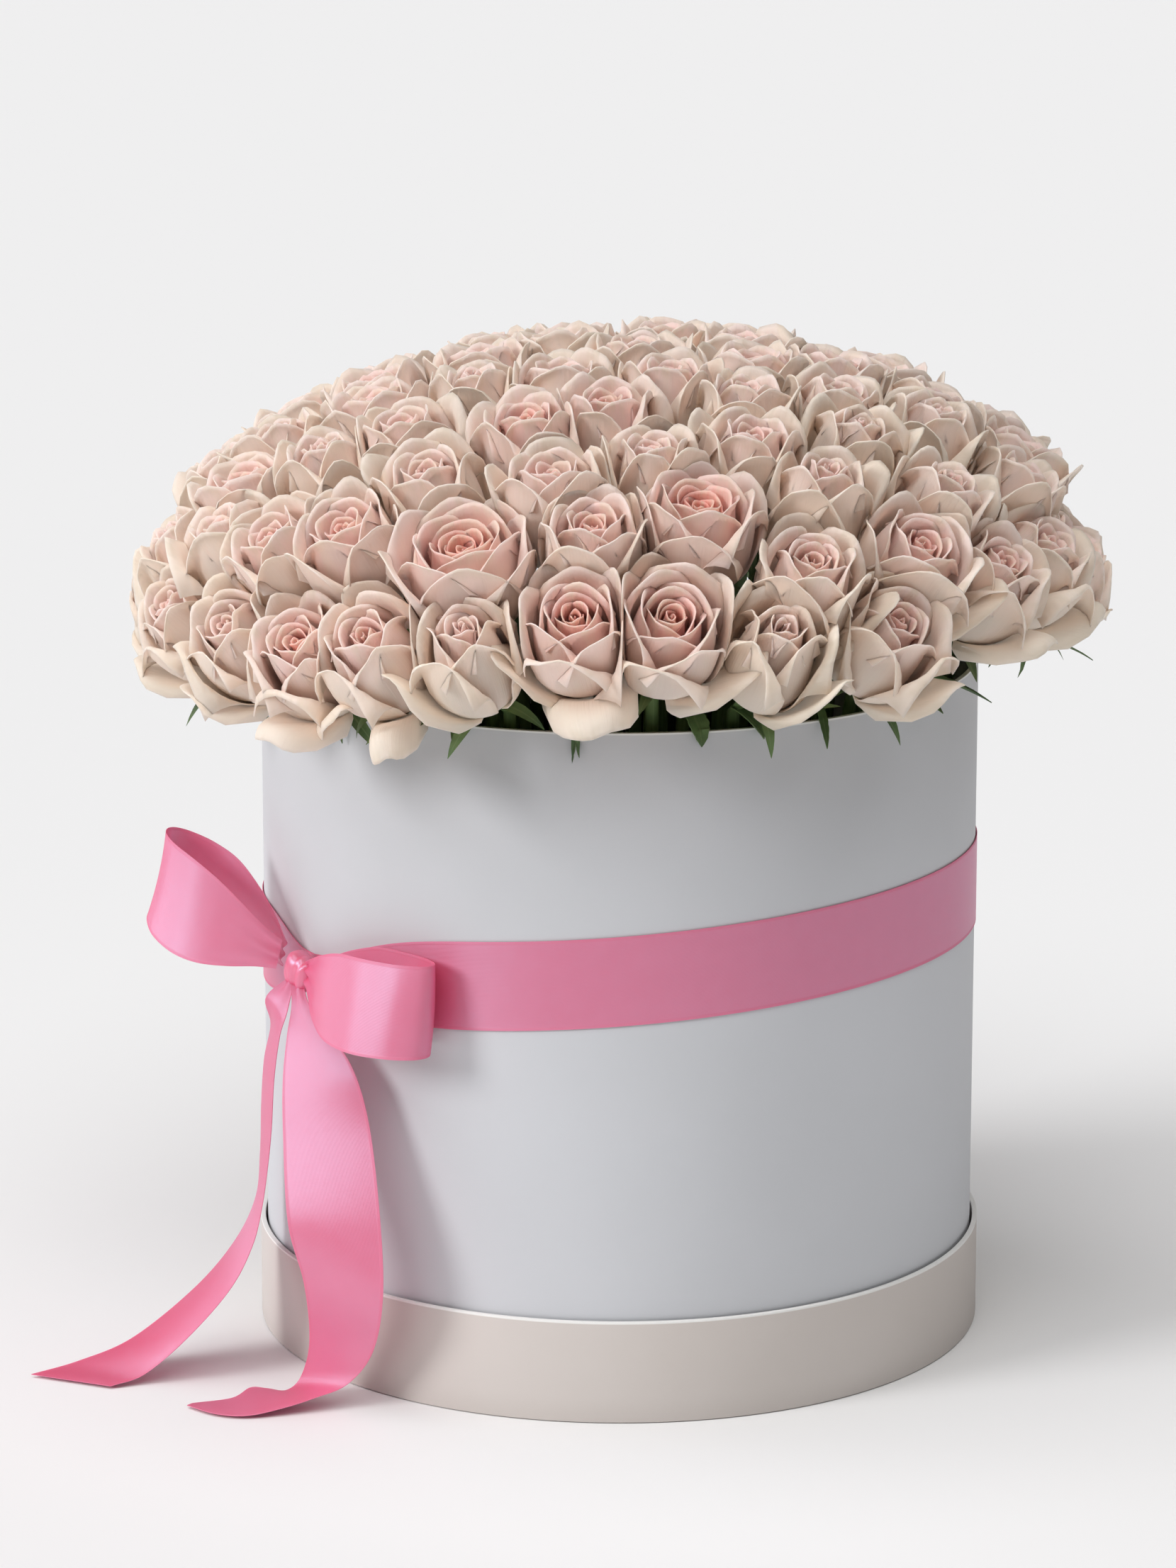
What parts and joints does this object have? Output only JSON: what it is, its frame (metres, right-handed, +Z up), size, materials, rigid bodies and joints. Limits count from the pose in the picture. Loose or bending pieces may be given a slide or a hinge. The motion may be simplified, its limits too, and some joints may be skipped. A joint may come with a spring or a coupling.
{
  "type": "boxed rose arrangement",
  "caption": "Dome of pale pink cut roses in a round white board box standing in its upturned lid, with a pink satin ribbon and bow.",
  "frame": {"origin": "centre of the underside of the lid, which the box stands in", "axes": "+Z up; -Y to the front, the side seen with the bow to its left; +X to the right"},
  "size_m": [0.449, 0.4126, 0.4223],
  "materials": {
    "box_board": "matte",
    "lid_board": "matte",
    "tub_plastic": "matte",
    "wet_foam": "matte",
    "pink_satin": "satin",
    "petal": "matte",
    "green": "matte"
  },
  "bodies": {
    "lid": {"lid_rim": "lid_board", "lid_panel": "lid_board"},
    "box": {"bow_knot": "pink_satin", "bow_loop_left": "pink_satin", "bow_loop_right": "pink_satin", "box_base": "box_board", "box_wall": "box_board", "foam_block": "wet_foam", "liner_tub": "tub_plastic", "ribbon_band": "pink_satin", "ribbon_tail_front": "pink_satin", "ribbon_tail_left": "pink_satin", "rose_pair_01": "petal", "rose_pair_02": "petal", "rose_pair_03": "petal", "rose_pair_04": "petal", "rose_pair_05": "petal", "rose_pair_06": "petal", "rose_pair_07": "petal", "rose_pair_08": "petal", "rose_pair_09": "petal", "rose_pair_10": "petal", "rose_pair_11": "petal", "rose_pair_12": "petal", "rose_pair_13": "petal", "rose_pair_14": "petal", "rose_pair_15": "petal", "rose_pair_16": "petal", "rose_pair_17": "petal", "rose_pair_18": "petal", "rose_pair_19": "petal", "rose_pair_20": "petal", "rose_pair_21": "petal", "rose_pair_22": "petal", "rose_pair_23": "petal", "rose_pair_24": "petal", "rose_pair_25": "petal", "rose_pair_26": "petal", "rose_pair_27": "petal", "rose_pair_28": "petal", "rose_pair_29": "petal", "rose_pair_30": "petal", "rose_pair_31": "petal", "rose_pair_32": "petal", "rose_pair_33": "petal", "rose_pair_34": "petal", "rose_pair_35": "petal", "rose_pair_36": "petal", "rose_pair_37": "petal", "rose_pair_38": "petal", "rose_pair_39": "petal", "rose_pair_40": "petal", "rose_pair_41": "petal", "rose_pair_42": "petal", "rose_pair_43": "petal", "rose_pair_44": "petal", "rose_pair_45": "petal", "rose_top": "petal"}
  },
  "joints": [
    {"name": "box_lift", "type": "slide", "parent": "lid", "child": "box", "axis": [0, 0, 1], "range_m": [0, 0.06]}
  ]
}
